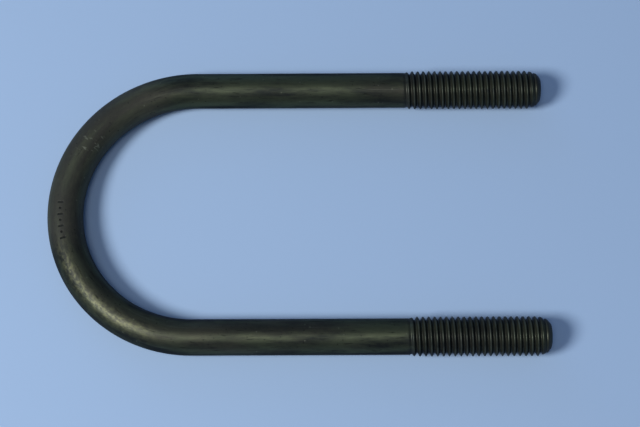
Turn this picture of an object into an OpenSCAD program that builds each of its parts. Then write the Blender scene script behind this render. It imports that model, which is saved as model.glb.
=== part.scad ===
// Round-bow U-bolt: one round bar, bent to a U and threaded at both ends.
// The U lies flat in the XY plane. The origin is the bow's centre of curvature,
// on the bar's centre plane, and both legs run along +X to their thread ends.

/* [Bar] */
// Clear width between the two legs, which is also the bow's inner diameter
inside_width = 68; // [50:1:110]
// Length over all, from the back of the bow to the thread ends
overall_length = 152; // [140:1:240]
// Diameter of the plain bar, which is the pitch diameter of the rolled thread
bar_d = 10.86; // [10.70:0.02:11.00]

/* [Thread] */
// Diameter over the thread crests
major_d = 11.85; // [11.70:0.01:11.95]
// Distance from one crest to the next
pitch = 1.75; // [1.75:0.05:2.00]
// Depth of the groove below the crests
thread_depth = 1.00; // [0.85:0.01:1.05]
// Length of the threaded end of each leg, with its point
thread_length = 43; // [25:0.5:60]
// Length over which the crests taper towards the end
taper_length = 3.9; // [3.0:0.1:6.0]
// Diameter that the crests taper to, where the bevel begins
taper_d = 9.9; // [9.2:0.1:10.6]
// Length of the bevel at the tip
bevel_length = 1.2; // [0.6:0.1:1.6]
// Diameter of the flat end face
point_d = 7.0; // [6.6:0.1:8.8]
// Straight facets in one turn of the groove
groove_steps = 24; // [20:4:32]

/* [Hidden] */

round_steps = 96;
bend_steps = 192;
steel = "#45443a";

bow_r = (inside_width + bar_d) / 2;
leg_end = overall_length - bow_r - bar_d / 2;
shank_length = leg_end - thread_length;

// Thread form: 60 degree flanks, with land and groove equally wide at the pitch diameter.
// The crests rise from the plain bar over the lead-in.
flank_slope = tan(30);
crest_flat = pitch / 2 - (major_d - bar_d) * flank_slope;
lead_in = 1.75 * pitch;
crest_half_gap = (pitch - crest_flat) / 2;
root_half = crest_half_gap - thread_depth * flank_slope;

// The groove tool stands proud of the crests and runs out past the end face.
// Its floor starts just clear of the crests and sinks to full depth.
proud = 0.15;
start_clear = 0.05;
start_turns = 1.2;
sink_turns = 1.5;
past_turns = 0.75;
groove_start = start_turns * pitch;
groove_turns = (thread_length - groove_start) / pitch + past_turns;
groove_count = ceil(groove_turns * groove_steps);

// Radius of the groove's floor at a given turn
function floor_r(turn) =
    let (sunk = min(1, turn / sink_turns))
    (major_d / 2 + start_clear) * (1 - sunk) + (major_d / 2 - thread_depth) * sunk;

// One section across the groove: two corners on its floor, two above the crests
function groove_section(step) =
    let (
        turn = step / groove_steps,
        angle = 360 * turn,
        x = groove_start + pitch * turn,
        low = floor_r(turn),
        high = major_d / 2 + proud,
        wide = root_half + (high - low) * flank_slope
    )
    [for (corner = [[-wide, high], [-root_half, low], [root_half, low], [wide, high]])
        [x + corner[0], corner[1] * cos(angle), corner[1] * sin(angle)]];

// The right-hand helical groove, swept section by section along the leg
module groove() {
    corners = 4;
    points = [for (step = [0:groove_count], p = groove_section(step)) p];
    sides = [for (step = [0:groove_count - 1], c = [0:corners - 1], half = [0, 1])
        let (
            a = step * corners + c,
            b = step * corners + (c + 1) % corners
        )
        half == 0 ? [b, a, b + corners] : [b + corners, a, a + corners]];
    last = groove_count * corners;
    ends = [[0, 1, 2], [0, 2, 3], [last + 2, last + 1, last], [last + 3, last + 2, last]];
    polyhedron(points = points, faces = concat(sides, ends), convexity = 20);
}

// Threaded end of a leg, along +X from its meeting plane with the shank
module threaded_end() {
    difference() {
        rotate([0, 90, 0]) rotate_extrude($fn = round_steps) polygon([
            [0, 0],
            [bar_d / 2, 0],
            [major_d / 2, lead_in],
            [major_d / 2, thread_length - taper_length],
            [taper_d / 2, thread_length - bevel_length],
            [point_d / 2, thread_length],
            [0, thread_length]
        ]);
        groove();
    }
}

module shank() {
    rotate([0, 90, 0]) cylinder(h = shank_length, d = bar_d, $fn = round_steps);
}

// Half turn of the bar between the two legs
module bow() {
    color(steel)
        rotate([0, 0, 90])
        rotate_extrude(angle = 180, $fn = bend_steps)
        translate([bow_r, 0])
        circle(d = bar_d, $fn = round_steps);
}

module left_shank() {
    color(steel) translate([0, bow_r, 0]) shank();
}

module right_shank() {
    color(steel) translate([0, -bow_r, 0]) shank();
}

module left_thread() {
    color(steel) translate([shank_length, bow_r, 0]) threaded_end();
}

module right_thread() {
    color(steel) translate([shank_length, -bow_r, 0]) threaded_end();
}

bow();
left_shank();
right_shank();
left_thread();
right_thread();
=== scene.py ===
"""Round-bow U-bolt in black steel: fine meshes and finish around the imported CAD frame."""

import math

import bmesh
import bpy
import numpy as np
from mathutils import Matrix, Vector


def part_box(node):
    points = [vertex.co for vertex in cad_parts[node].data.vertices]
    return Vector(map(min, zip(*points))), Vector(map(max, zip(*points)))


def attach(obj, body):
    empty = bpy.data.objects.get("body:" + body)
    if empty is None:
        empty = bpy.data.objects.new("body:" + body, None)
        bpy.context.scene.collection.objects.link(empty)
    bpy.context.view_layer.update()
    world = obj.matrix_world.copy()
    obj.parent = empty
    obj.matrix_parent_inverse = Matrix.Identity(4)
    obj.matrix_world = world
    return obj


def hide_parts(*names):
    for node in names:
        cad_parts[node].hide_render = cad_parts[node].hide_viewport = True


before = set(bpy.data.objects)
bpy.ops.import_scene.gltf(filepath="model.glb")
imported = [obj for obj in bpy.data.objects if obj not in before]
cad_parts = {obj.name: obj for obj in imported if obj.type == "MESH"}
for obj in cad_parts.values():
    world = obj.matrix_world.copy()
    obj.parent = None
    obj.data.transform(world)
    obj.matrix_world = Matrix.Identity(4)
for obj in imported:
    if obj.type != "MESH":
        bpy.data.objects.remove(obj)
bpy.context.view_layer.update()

MM = 0.001

# Sizes read from the frame
shank_lo, shank_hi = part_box("left_shank")
thread_lo, thread_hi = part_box("left_thread")
BAR_R = (shank_hi[2] - shank_lo[2]) / 2
CREST_R = (thread_hi[2] - thread_lo[2]) / 2
BOW_R = (shank_hi[1] + shank_lo[1]) / 2
THREAD_START = thread_lo[0]
LEG_END = thread_hi[0]
THREAD_LENGTH = LEG_END - THREAD_START

# Thread form, as the CAD part states it
PITCH = 1.75 * MM
THREAD_DEPTH = 1.0 * MM
FLANK = math.radians(30)
CREST_FLAT = PITCH / 2 - 2 * (CREST_R - BAR_R) * math.tan(FLANK)
RISE = 1.75 * PITCH
FIRST_GROOVE = 1.2 * PITCH
SINK = 1.5 * PITCH
TAPER_LENGTH = 3.9 * MM
TAPER_R = 4.95 * MM
BEVEL_LENGTH = 1.2 * MM
POINT_R = 3.5 * MM
SHOULDER_ROUND = 0.25 * MM
EDGE_ROUND = 0.30 * MM
END_DISH = 0.12 * MM

# Fineness of the meshes, and how many turns the thread is cut past both its ends
ROUND_STEPS = 96
BOW_STEPS = 160
SHANK_STEP = 1.0 * MM
END_RINGS = 6
SPARE_TURNS = 4
WELD = 0.0005 * MM
TINY_EDGE = 0.0004 * MM


# ---------------------------------------------------------------- mesh making

def make_object(name, points, faces, sharp_rings=()):
    """A smooth-shaded mesh object, with its edges kept sharp inside the given vertex sets."""
    mesh = bpy.data.meshes.new(name)
    mesh.from_pydata([tuple(p) for p in points], [], faces)
    mesh.validate()
    mesh.update()
    mesh.polygons.foreach_set("use_smooth", [True] * len(mesh.polygons))
    sharp = mesh.attributes.new("sharp_edge", "BOOLEAN", "EDGE")
    for edge in mesh.edges:
        a, b = edge.vertices
        sharp.data[edge.index].value = any(a in ring and b in ring for ring in sharp_rings)
    piece = bpy.data.objects.new(name, mesh)
    bpy.context.scene.collection.objects.link(piece)
    return piece


def tube_faces(rings, around):
    """Quads between successive rings of a closed tube, with a flat cap on each end."""
    faces = []
    for i in range(rings - 1):
        for j in range(around):
            a, b = i * around + j, i * around + (j + 1) % around
            faces.append((a, b, b + around, a + around))
    first = tuple(range(around))
    last = tuple((rings - 1) * around + j for j in range(around))
    return faces + [first[::-1], last]


def tube(name, rings):
    """A capped tube through an array of rings, shaped rings x points x 3."""
    count, around = rings.shape[:2]
    first = set(range(around))
    last = set(range((count - 1) * around, count * around))
    return make_object(name, rings.reshape(-1, 3), tube_faces(count, around), (first, last))


# ------------------------------------------------------------------------ bow

MARK_ANGLE = math.radians(185.8)
MARK_TURN = math.radians(82)
MARK_DEPTH = 0.25 * MM
DOT_R = 0.42 * MM
BAR_HALF = 1.0 * MM
BAR_THICK = 0.30 * MM
EDGE_SLOPE = 2.2
FINE_STEP = 0.10 * MM

# An even row of plain marks, bars and dots by turns
MARK_COUNT = 7
MARK_PITCH = 1.9 * MM
MARK_MARGIN = 1.3
MARKS = [((i - MARK_COUNT // 2) * MARK_PITCH, i % 2 == 0) for i in range(MARK_COUNT)]


def punched_depth(along, across):
    """Depth of the plain punched row at a place on the bar, measured from the row's middle."""
    depth = np.zeros_like(along)
    for centre, is_bar in MARKS:
        u = along - centre
        if is_bar:
            away = np.maximum(np.abs(u) / BAR_THICK, np.abs(across) / BAR_HALF)
        else:
            away = np.hypot(u, across) / DOT_R
        depth = np.maximum(depth, MARK_DEPTH * np.clip(EDGE_SLOPE * (1 - away), 0, 1))
    return depth


def with_fine_span(coarse, middle, half, step):
    """Coarse stations with a finely stepped span laid into them."""
    fine = np.linspace(middle - half, middle + half, int(2 * half / step) + 1)
    outside = coarse[np.abs(coarse - middle) > half + step]
    return np.sort(np.concatenate([outside, fine]))


def make_bow():
    """Half turn of round bar, with a row of plain punched marks on its outer upper side."""
    half_row = MARK_COUNT / 2 * MARK_PITCH
    around = np.linspace(0, 2 * math.pi, ROUND_STEPS, endpoint=False)
    around = with_fine_span(around, MARK_TURN, MARK_MARGIN * BAR_HALF / BAR_R, FINE_STEP / BAR_R)
    along = np.linspace(math.pi / 2, 3 * math.pi / 2, BOW_STEPS + 1)
    along = with_fine_span(along, MARK_ANGLE, half_row / BOW_R, FINE_STEP / BOW_R)
    bend, turn = np.meshgrid(along, around, indexing="ij")
    u = (bend - MARK_ANGLE) * (BOW_R + BAR_R * np.cos(MARK_TURN))
    v = (turn - MARK_TURN) * BAR_R
    radius = BAR_R - punched_depth(u, v)
    out = BOW_R + radius * np.cos(turn)
    rings = np.stack([out * np.cos(bend), out * np.sin(bend), radius * np.sin(turn)], axis=-1)
    return tube("bow_bar", rings[:, ::-1])


# --------------------------------------------------------------------- shanks

def make_shank(name, side):
    """Plain straight bar of one leg."""
    stations = np.linspace(0, THREAD_START, int(THREAD_START / SHANK_STEP) + 1)
    turn = np.linspace(0, 2 * math.pi, ROUND_STEPS, endpoint=False)
    x, a = np.meshgrid(stations, turn, indexing="ij")
    rings = np.stack([x, side * BOW_R + BAR_R * np.cos(a), BAR_R * np.sin(a)], axis=-1)
    return tube(name, rings)


# -------------------------------------------------------------------- threads

CREST_HALF_GAP = (PITCH - CREST_FLAT) / 2
CREST_ROUND = 0.25 * MM
ROOT_ROUND = CREST_HALF_GAP / math.tan(FLANK) - THREAD_DEPTH


def profile_stations():
    """Places across one pitch, from root to root, that carry the thread's shape."""
    root_reach = ROOT_ROUND * math.cos(FLANK)
    crest_reach = CREST_ROUND * math.tan(FLANK)
    half = [0, 0.35 * root_reach, 0.7 * root_reach, root_reach]
    half += [(root_reach + CREST_HALF_GAP - crest_reach) / 2]
    half += [CREST_HALF_GAP - crest_reach / 2, CREST_HALF_GAP, CREST_HALF_GAP + crest_reach]
    half = np.array(half)
    return np.concatenate([half, PITCH - half[:0:-1]])


def thread_r(away):
    """Radius of the thread at a distance from the middle of a root, along the leg."""
    h = np.abs((away + PITCH / 2) % PITCH - PITCH / 2)
    root_reach = ROOT_ROUND * math.cos(FLANK)
    root_r = CREST_R - THREAD_DEPTH
    inside = np.sqrt(np.maximum(ROOT_ROUND**2 - np.minimum(h, root_reach)**2, 0))
    root = root_r + ROOT_ROUND - inside
    flank = CREST_R - (CREST_HALF_GAP - h) / math.tan(FLANK)
    ease = np.clip((h - CREST_HALF_GAP) / (CREST_ROUND * math.tan(FLANK)), -1, 1)
    crest = CREST_R - CREST_ROUND * (1 - math.sin(FLANK)) * (1 - ease) ** 2 / 4
    return np.where(h < root_reach, root, np.minimum(flank, crest))


def soft_min(a, b, reach):
    """The smaller of two radii, with the corner between them rounded over a reach."""
    h = np.clip(0.5 + 0.5 * (b - a) / reach, 0, 1)
    return b + (a - b) * h - reach * h * (1 - h)


def blank_r(x):
    """Largest radius at a distance along the threaded end: taper, bevel and rounded edge of the tip."""
    left = THREAD_LENGTH - x
    taper = TAPER_R + (CREST_R - TAPER_R) * (left - BEVEL_LENGTH) / (TAPER_LENGTH - BEVEL_LENGTH)
    bevel = POINT_R + (TAPER_R - POINT_R) * left / BEVEL_LENGTH
    in_edge = 1 - np.clip(left / EDGE_ROUND, 0, 1)
    edge = EDGE_ROUND * (1 - np.sqrt(1 - in_edge**2))
    return np.minimum(soft_min(taper, bevel, SHOULDER_ROUND), CREST_R) - edge


def smooth_step(value):
    """Eases from 0 to 1 as the value does, level at both ends."""
    value = np.clip(value, 0, 1)
    return value * value * (3 - 2 * value)


def make_thread(name, side):
    """Rolled right-hand thread that grows out of the bar and ends in a bevelled point."""
    stations = profile_stations()
    per_turn = len(stations) - 1
    turns = math.ceil(THREAD_LENGTH / PITCH) + SPARE_TURNS
    first = FIRST_GROOVE % PITCH - SPARE_TURNS / 2 * PITCH
    rows = (first + np.arange(turns)[:, None] * PITCH + stations[None, :-1]).reshape(-1)
    turn = np.arange(ROUND_STEPS) / ROUND_STEPS
    x = np.clip(rows[:, None] + PITCH * turn[None, :], 0, THREAD_LENGTH)
    full = thread_r(x - PITCH * turn[None, :] - FIRST_GROOVE)
    crest = np.maximum(full - BAR_R, 0) * smooth_step(x / RISE)
    root = np.minimum(full - BAR_R, 0) * smooth_step(x / SINK)
    radius = np.minimum(BAR_R + crest + root, blank_r(x))
    a = 2 * math.pi * turn[None, :]
    y = side * BOW_R + radius * np.cos(a)
    z = radius * np.sin(a)
    points = np.stack([THREAD_START + x, y, z], axis=-1).reshape(-1, 3)
    faces = []
    for k in range(len(rows) - per_turn - 1):
        for j in range(ROUND_STEPS):
            wraps = j == ROUND_STEPS - 1
            near = k * ROUND_STEPS + j
            far = (k + per_turn) * ROUND_STEPS if wraps else near + 1
            faces.append((near, far, far + ROUND_STEPS, near + ROUND_STEPS))
    return welded_thread(name, side, points, faces)


def welded_thread(name, side, points, faces):
    """Welds the rows that lie on the two end planes, drops what has no area and caps both ends."""
    mesh = bpy.data.meshes.new(name)
    mesh.from_pydata(points.tolist(), [], faces)
    work = bmesh.new()
    work.from_mesh(mesh)
    bmesh.ops.remove_doubles(work, verts=work.verts, dist=WELD)
    bmesh.ops.dissolve_degenerate(work, edges=work.edges, dist=TINY_EDGE)
    loose = [v for v in work.verts if not v.link_faces]
    bmesh.ops.delete(work, geom=loose, context="VERTS")
    for face in work.faces:
        face.smooth = True
    rims = [e for e in work.edges if len(e.link_faces) == 1]
    near = [e for e in rims if all(v.co.x < THREAD_START + THREAD_LENGTH / 2 for v in e.verts)]
    far = [e for e in rims if all(v.co.x > THREAD_START + THREAD_LENGTH / 2 for v in e.verts)]
    for edge in near:
        edge.smooth = False
    bmesh.ops.edgeloop_fill(work, edges=near)
    cap_tip(work, far, side)
    bmesh.ops.recalc_face_normals(work, faces=work.faces)
    work.to_mesh(mesh)
    work.free()
    piece = bpy.data.objects.new(name, mesh)
    bpy.context.scene.collection.objects.link(piece)
    return piece


def cap_tip(work, rim, side):
    """Closes the tip with rings that dish in a little towards the middle, made in a fixed order."""
    for edge in rim:
        edge.smooth = False
    corners = {vert for edge in rim for vert in edge.verts}
    outer = sorted(corners, key=lambda vert: math.atan2(vert.co.z, vert.co.y - side * BOW_R))
    for ring in range(1, END_RINGS):
        share = 1 - ring / END_RINGS
        x = LEG_END - END_DISH * (1 - share**2)
        inner = []
        for vert in outer:
            y, z = vert.co.y - side * BOW_R, vert.co.z
            scale = (POINT_R - EDGE_ROUND) * share / math.hypot(y, z)
            inner.append(work.verts.new((x, side * BOW_R + y * scale, z * scale)))
        for j in range(len(outer)):
            face = work.faces.new((outer[j - 1], outer[j], inner[j], inner[j - 1]))
            face.smooth = True
        outer = inner
    work.faces.new(outer)


# ------------------------------------------------------------------ materials

class Nodes:
    """A short way to write a material's node tree."""

    def __init__(self, name):
        self.material = bpy.data.materials.new(name)
        self.material.use_nodes = True
        self.tree = self.material.node_tree
        self.tree.nodes.clear()

    def add(self, kind, inputs=None, **settings):
        node = self.tree.nodes.new(kind)
        for key, value in settings.items():
            setattr(node, key, value)
        for key, value in (inputs or {}).items():
            if isinstance(value, bpy.types.NodeSocket):
                self.tree.links.new(value, node.inputs[key])
            else:
                node.inputs[key].default_value = value
        return node

    def math(self, operation, a, b=0.0):
        return self.add("ShaderNodeMath", {0: a, 1: b}, operation=operation).outputs[0]

    def span(self, value, low, high, to_low=0.0, to_high=1.0):
        node = self.add("ShaderNodeMapRange", {0: value, 1: low, 2: high, 3: to_low, 4: to_high})
        return node.outputs[0]

    def noise(self, place, scale, detail=4.0, rough=0.6):
        inputs = {"Vector": place, "Scale": scale, "Detail": detail, "Roughness": rough}
        return self.add("ShaderNodeTexNoise", inputs).outputs["Fac"]

    def mix(self, share, a, b):
        node = self.add("ShaderNodeMix", data_type="RGBA")
        for socket, value in zip((node.inputs[0], node.inputs[6], node.inputs[7]), (share, a, b)):
            if isinstance(value, bpy.types.NodeSocket):
                self.tree.links.new(value, socket)
            else:
                socket.default_value = value
        return node.outputs[2]


class BarPlace:
    """Where a point lies on the bar when it is unbent: along from the bow's middle, outward and up."""

    def __init__(self, n):
        self.n = n
        split = n.add("ShaderNodeSeparateXYZ", {0: n.add("ShaderNodeTexCoord").outputs["Object"]})
        x, y, z = split.outputs
        back = n.math("MINIMUM", x, 0.0)
        self.ahead = n.math("MAXIMUM", x, 0.0)
        bend = n.math("ARCTAN2", y, n.math("MULTIPLY", back, -1.0))
        straight = n.math("MULTIPLY", n.math("SIGN", y), self.ahead)
        self.along = n.math("ADD", n.math("MULTIPLY", bend, BOW_R), straight)
        self.outward = n.math("SUBTRACT", self.length(y, back), BOW_R)
        self.up = z
        self.from_axis = self.length(self.outward, z)

    def length(self, a, b):
        squares = [self.n.math("MULTIPLY", side, side) for side in (a, b)]
        return self.n.math("SQRT", self.n.math("ADD", *squares))

    def scaled(self, along, across, shift=0.0):
        """The unbent place, scaled apart along and across the bar, for marks that run one way."""
        place = self.n.add("ShaderNodeCombineXYZ", {0: self.along, 1: self.outward, 2: self.up})
        inputs = {0: place.outputs[0], 1: (along, across, across), 2: (shift, shift, shift)}
        return self.n.add("ShaderNodeVectorMath", inputs, operation="MULTIPLY_ADD").outputs[0]

    def zone(self, value, middle, half, fade):
        """1 within a distance of a middle place, falling to 0 over the fade."""
        away = self.n.math("ABSOLUTE", self.n.math("SUBTRACT", value, middle))
        return self.n.span(away, half + fade, half)


BLACK = (0.024, 0.027, 0.023, 1)
OLIVE = (0.072, 0.083, 0.050, 1)
BROWN = (0.070, 0.066, 0.048, 1)
WORN = (0.160, 0.170, 0.125, 1)
DUSTY = (0.056, 0.053, 0.040, 1)
# Painted glint colour, laid on the band of the bend where the lamp's highlight falls
GLINT_PAINT = (0.150, 0.155, 0.080, 1)
# Dark oil for the dashes and pits, also used as painted shade inside the punched marks
OIL_AND_SHADE = (0.011, 0.012, 0.010, 1)
OIL_SHEEN = (0.13, 0.21, 0.38, 1)

BAR_METALLIC = 0.80
DUSTY_METALLIC = 0.45
THREAD_LESS_METALLIC = 0.18
SPECULAR_LEVEL = 0.35
BUMP_STRENGTH = 0.4
BUMP_HEIGHT = 0.04 * MM

# Stretches of the bend, measured along the bar from the bow's middle: middle, half length and fade
DUSTY_STRETCH = (20 * MM, 26 * MM, 9 * MM)
# Where the painted glints go: the stretch of the bend under the lamp's highlight
GLINT_STRETCH = (-31 * MM, 14 * MM, 9 * MM)
SCUFFED_STRETCH = (22 * MM, 3 * MM, 3 * MM)

# The same, measured outward from the bar's axis
# Where the painted glints go: the side of the bar under the lamp's highlight
GLINT_SIDE = (1.8 * MM, 1.0 * MM, 2.2 * MM)
SCUFFED_SIDE = (-1.5 * MM, 2.0 * MM, 1.5 * MM)


def black_steel(name, threaded):
    """Phosphated and oiled steel: drawn streaks, dashes, fine crystals, pits and rubbed places, with
    painted glints on the bend and painted shade in the punched marks.
    """
    n = Nodes(name)
    place = BarPlace(n)
    patch = n.noise(place.scaled(45, 240), 1.0, 5)
    patch = n.math("ADD", patch, n.span(place.along, 45 * MM, 60 * MM, 0, 0.05))
    cloud = n.noise(place.scaled(22, 75, 7.0), 1.0, 3)
    streak = n.noise(place.scaled(50, 1500), 1.0, 3)
    dash = n.noise(place.scaled(170, 1700, 3.0), 1.0, 3)
    grain = n.noise(place.scaled(3000, 3000), 1.0, 2, 0.7)
    colour = n.mix(n.span(patch, 0.40, 0.62), BLACK, OLIVE)
    colour = n.mix(n.span(cloud, 0.50, 0.72, 0, 0.8), colour, BROWN)
    colour = n.mix(n.span(streak, 0.60, 0.80, 0, 0.30), colour, WORN)
    dashed = n.span(dash, 0.62, 0.70)
    colour = n.mix(n.math("MULTIPLY", dashed, 0.75), colour, OIL_AND_SHADE)
    matt = place.zone(place.along, *DUSTY_STRETCH)
    rolled = n.span(place.ahead, THREAD_START - 1.0 * MM, THREAD_START + 1.5 * MM)
    colour = n.mix(n.math("MULTIPLY", matt, n.span(patch, 0.35, 0.55, 0.7, 0.4)), colour, DUSTY)
    if threaded:
        colour = thread_colour(n, place, colour, rolled)
    else:
        colour = bar_colour(n, place, colour)
    rough = n.span(patch, 0.3, 0.7, 0.50, 0.40)
    rough = n.math("ADD", rough, n.math("MULTIPLY", matt, 0.10))
    rough = n.math("ADD", rough, n.math("MULTIPLY", rolled, -0.03))
    rough = n.math("ADD", rough, n.span(grain, 0.3, 0.7, -0.06, 0.08))
    rough = n.math("ADD", rough, n.math("MULTIPLY", dashed, 0.10))
    height = n.math("ADD", grain, n.math("MULTIPLY", streak, 0.4))
    height = n.math("ADD", height, n.math("MULTIPLY", patch, 0.8))
    height = n.math("SUBTRACT", height, n.math("MULTIPLY", dashed, 0.3))
    bump_inputs = {"Height": height, "Strength": BUMP_STRENGTH, "Distance": BUMP_HEIGHT}
    bump = n.add("ShaderNodeBump", bump_inputs)
    metallic = n.span(matt, 0, 1, BAR_METALLIC, DUSTY_METALLIC)
    metallic = n.math("SUBTRACT", metallic, n.math("MULTIPLY", rolled, THREAD_LESS_METALLIC))
    shader = n.add("ShaderNodeBsdfPrincipled", {
        "Base Color": colour,
        "Metallic": metallic,
        "Specular IOR Level": SPECULAR_LEVEL,
        "Specular Tint": OIL_SHEEN,
        "Roughness": rough,
        "Normal": bump.outputs[0],
    })
    out = n.add("ShaderNodeOutputMaterial")
    n.tree.links.new(shader.outputs[0], out.inputs[0])
    return n.material


def thread_colour(n, place, colour, rolled):
    """Darker than the bar, with crests rubbed bright in places and brownish roots."""
    crest = n.span(place.from_axis, CREST_R - 0.26 * MM, CREST_R - 0.04 * MM)
    root = n.span(place.from_axis, CREST_R - THREAD_DEPTH + 0.5 * MM, CREST_R - THREAD_DEPTH)
    colour = n.mix(n.math("MULTIPLY", rolled, 0.55), colour, BLACK)
    rub = n.span(n.noise(place.scaled(330, 160, 5.0), 1.0, 2), 0.42, 0.66, 0, 0.24)
    colour = n.mix(n.math("MULTIPLY", root, 0.35), colour, BROWN)
    return n.mix(n.math("MULTIPLY", crest, rub), colour, WORN)


def bar_colour(n, place, colour):
    """Dark pits, punched marks darkened with painted shade, bright specks, painted glints and dark
    flecks on the band where the highlight falls on the bend, and the scuffs that bending left.
    """
    pits = n.add("ShaderNodeTexVoronoi", {"Vector": place.scaled(500, 500), "Scale": 1.0})
    pit = n.span(pits.outputs["Distance"], 0.05, 0.14, 0.7, 0)
    colour = n.mix(pit, colour, OIL_AND_SHADE)
    specks = n.add("ShaderNodeTexVoronoi", {"Vector": place.scaled(700, 700, 9.0), "Scale": 1.0})
    lucky = n.add("ShaderNodeSeparateColor", {0: specks.outputs["Color"]}).outputs[0]
    speck = n.span(specks.outputs["Distance"], 0.10, 0.20, 0.5, 0)
    speck = n.math("MULTIPLY", speck, n.math("GREATER_THAN", lucky, 0.9))
    colour = n.mix(speck, colour, WORN)
    # Painted glints and dark flecks that mottle the highlight: strongest on the band where the lamp's
    # highlight falls, faint everywhere else
    glint_band = place.zone(place.along, *GLINT_STRETCH)
    glint_band = n.math("MULTIPLY", glint_band, place.zone(place.outward, *GLINT_SIDE))
    glint_band = n.math("MULTIPLY", glint_band, n.span(place.up, 0, 3 * MM))
    glint_grain = n.noise(place.scaled(650, 1000, 4.0), 1.0, 3, 0.7)
    bright = n.math("MULTIPLY", n.span(glint_grain, 0.46, 0.64), n.span(glint_band, 0, 1, 0.05, 0.42))
    dull = n.math("MULTIPLY", n.span(glint_grain, 0.46, 0.36), n.span(glint_band, 0, 1, 0.05, 0.35))
    colour = n.mix(bright, colour, GLINT_PAINT)
    colour = n.mix(dull, colour, BLACK)
    scuff = n.span(n.noise(place.scaled(1300, 420, 2.0), 1.0, 2), 0.60, 0.68, 0, 0.8)
    scuff = n.math("MULTIPLY", scuff, place.zone(place.along, *SCUFFED_STRETCH))
    scuff = n.math("MULTIPLY", scuff, place.zone(place.outward, *SCUFFED_SIDE))
    colour = n.mix(scuff, colour, WORN)
    # Painted shade: the punched marks darken with their depth below the bar's surface
    mark_shade = n.span(place.from_axis, BAR_R - 0.04 * MM, BAR_R - 0.14 * MM)
    return n.mix(n.math("MULTIPLY", mark_shade, 0.75), colour, OIL_AND_SHADE)


# ---------------------------------------------------------------------- stage

FLOOR_COLOUR = (0.36, 0.50, 0.70, 1)
FLOOR_ROUGHNESS = 0.8
FLOOR_SIZE = 6.0


def make_floor():
    """Pale plane that the bow and the first full crests rest on."""
    crest_x = THREAD_START + RISE
    tilt = math.atan2(CREST_R - BAR_R, crest_x + BOW_R)
    bpy.ops.mesh.primitive_plane_add(size=FLOOR_SIZE, location=(-BOW_R, 0, -BAR_R))
    floor = bpy.context.object
    floor.name = "floor"
    floor.rotation_euler = (0, tilt, 0)
    n = Nodes("pale_floor")
    inputs = {"Base Color": FLOOR_COLOUR, "Roughness": FLOOR_ROUGHNESS}
    shader = n.add("ShaderNodeBsdfPrincipled", inputs)
    out = n.add("ShaderNodeOutputMaterial")
    n.tree.links.new(shader.outputs[0], out.inputs[0])
    floor.data.materials.append(n.material)


WHITE = (1.0, 1.0, 1.0)
COOL = (0.45, 0.80, 1.40)

# Name, direction towards it, distance, size, power and colour of each light
LIGHTS = (
    ("lamp", (-0.59, -0.27, 0.76), 1.2, 0.40, 11.8, WHITE),
    ("overhead", (-0.05, -0.25, 0.97), 1.5, 0.60, 3.6, WHITE),
    ("window", (-0.45, 0.87, 0.20), 1.6, 1.4, 3.0, COOL),
)
WORLD_COLOUR = (0.48, 0.80, 1.45, 1)
WORLD_STRENGTH = 0.12


def make_light(name, towards, distance, size, power, colour):
    """A round area light aimed at the bolt."""
    towards = Vector(towards).normalized()
    lamp = bpy.data.lights.new(name, "AREA")
    lamp.shape = "DISK"
    lamp.size = size
    lamp.energy = power
    lamp.color = colour
    holder = bpy.data.objects.new(name, lamp)
    holder.location = towards * distance
    holder.rotation_euler = towards.to_track_quat("Z", "Y").to_euler()
    bpy.context.scene.collection.objects.link(holder)


def make_lights():
    """A soft lamp, a softer one overhead, a low cool window behind the bolt and a dim cool world."""
    for light in LIGHTS:
        make_light(*light)
    world = bpy.data.worlds.new("studio")
    world.use_nodes = True
    background = world.node_tree.nodes["Background"]
    background.inputs[0].default_value = WORLD_COLOUR
    background.inputs[1].default_value = WORLD_STRENGTH
    bpy.context.scene.world = world


LENS = 90.0
SENSOR_WIDTH = 36.0
CAMERA_PLACE = (0.0411, -0.1480, 0.4658)
CAMERA_TURN = (0.3060, 0.0067, -0.0026)


def make_camera():
    """Long lens above the near leg, tilted back over the bolt."""
    lens = bpy.data.cameras.new("camera")
    lens.lens = LENS
    lens.sensor_width = SENSOR_WIDTH
    camera = bpy.data.objects.new("camera", lens)
    camera.location = CAMERA_PLACE
    camera.rotation_euler = CAMERA_TURN
    bpy.context.scene.collection.objects.link(camera)
    bpy.context.scene.camera = camera


# ---------------------------------------------------------------------- build

plain = black_steel("black_bar", False)
rolled = black_steel("black_thread", True)
pieces = [
    (make_bow(), "bow", "plain_bar", plain),
    (make_shank("left_shank_bar", 1), "left_shank", "plain_bar", plain),
    (make_shank("right_shank_bar", -1), "right_shank", "plain_bar", plain),
    (make_thread("left_rolled_thread", 1), "left_thread", "rolled_thread", rolled),
    (make_thread("right_rolled_thread", -1), "right_thread", "rolled_thread", rolled),
]
for piece, node, slot, material in pieces:
    piece.data.materials.append(material)
    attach(piece, "root")
    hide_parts(node)

make_camera()
make_lights()
make_floor()
bpy.context.scene.view_settings.view_transform = "Standard"
